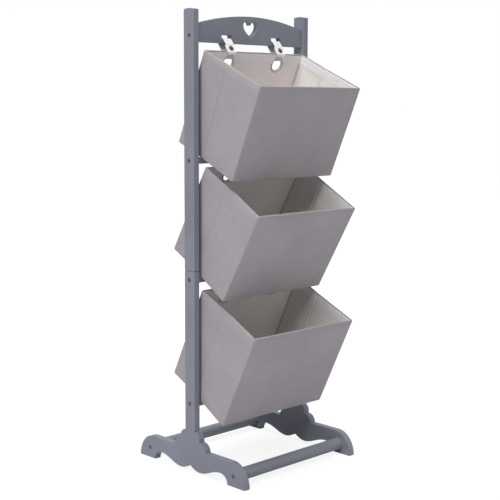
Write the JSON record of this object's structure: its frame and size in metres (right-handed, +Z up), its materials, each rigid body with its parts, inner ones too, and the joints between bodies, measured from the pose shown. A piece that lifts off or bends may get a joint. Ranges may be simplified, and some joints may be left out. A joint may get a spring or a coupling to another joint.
{
  "type": "basket storage rack",
  "caption": "Tall painted wooden rack with scroll feet and an arched, heart-pierced top rail, holding tilted open fabric baskets hung on webbing straps.",
  "frame": {"origin": "on the floor, under the middle of the whole part's length, width and depth", "axes": "+Z up, X across the rack from the left foot to the right foot, -Y towards the front, where the baskets open"},
  "size_m": [0.36, 0.379, 1.028],
  "materials": {
    "painted_wood": "satin paint",
    "beech": "bare, turned",
    "steel": "zinc plated",
    "outer_cloth": "plain weave",
    "lining_cloth": "plain weave",
    "fibreboard": "smooth board, hidden in the cloth",
    "webbing": "flat woven cotton tape",
    "ring_metal": "satin",
    "stud_metal": "satin"
  },
  "bodies": {
    "rack": {"left_foot": "painted_wood", "right_foot": "painted_wood", "left_lower_post": "painted_wood", "right_lower_post": "painted_wood", "left_upper_post": "painted_wood", "right_upper_post": "painted_wood", "foot_dowels": "beech", "joint_dowels": "beech", "arched_rail": "painted_wood", "high_slat": "painted_wood", "middle_slat": "painted_wood", "low_slat": "painted_wood", "front_stretcher": "painted_wood", "rear_stretcher": "painted_wood", "rail_bolts": "steel", "rail_nuts": "steel", "stretcher_bolts": "steel", "stretcher_nuts": "steel", "top_straps": "webbing", "top_stud_caps": "stud_metal", "top_stud_rings": "stud_metal", "middle_straps": "webbing", "middle_stud_caps": "stud_metal", "middle_stud_rings": "stud_metal", "bottom_straps": "webbing", "bottom_stud_caps": "stud_metal", "bottom_stud_rings": "stud_metal"},
    "top_basket": {"top_cover": "outer_cloth", "top_lining": "lining_cloth", "top_base_board": "fibreboard", "top_front_board": "fibreboard", "top_back_board": "fibreboard", "top_side_boards": "fibreboard", "top_eyelets": "ring_metal", "top_eyelet_lips": "ring_metal"},
    "middle_basket": {"middle_cover": "outer_cloth", "middle_lining": "lining_cloth", "middle_base_board": "fibreboard", "middle_front_board": "fibreboard", "middle_back_board": "fibreboard", "middle_side_boards": "fibreboard", "middle_eyelets": "ring_metal", "middle_eyelet_lips": "ring_metal"},
    "bottom_basket": {"bottom_cover": "outer_cloth", "bottom_lining": "lining_cloth", "bottom_base_board": "fibreboard", "bottom_front_board": "fibreboard", "bottom_back_board": "fibreboard", "bottom_side_boards": "fibreboard", "bottom_eyelets": "ring_metal", "bottom_eyelet_lips": "ring_metal"}
  },
  "joints": [
    {"name": "top_basket_swing", "type": "hinge", "parent": "rack", "child": "top_basket", "pos_m": [0, -0.00639, 0.92775], "axis": [-1, 0, 0], "range_deg": [0, 25]},
    {"name": "middle_basket_swing", "type": "hinge", "parent": "rack", "child": "middle_basket", "pos_m": [0, -0.01027, 0.67856], "axis": [-1, 0, 0], "range_deg": [0, 12]},
    {"name": "bottom_basket_swing", "type": "hinge", "parent": "rack", "child": "bottom_basket", "pos_m": [0, 0.00102, 0.40516], "axis": [-1, 0, 0], "range_deg": [0, 12]}
  ]
}
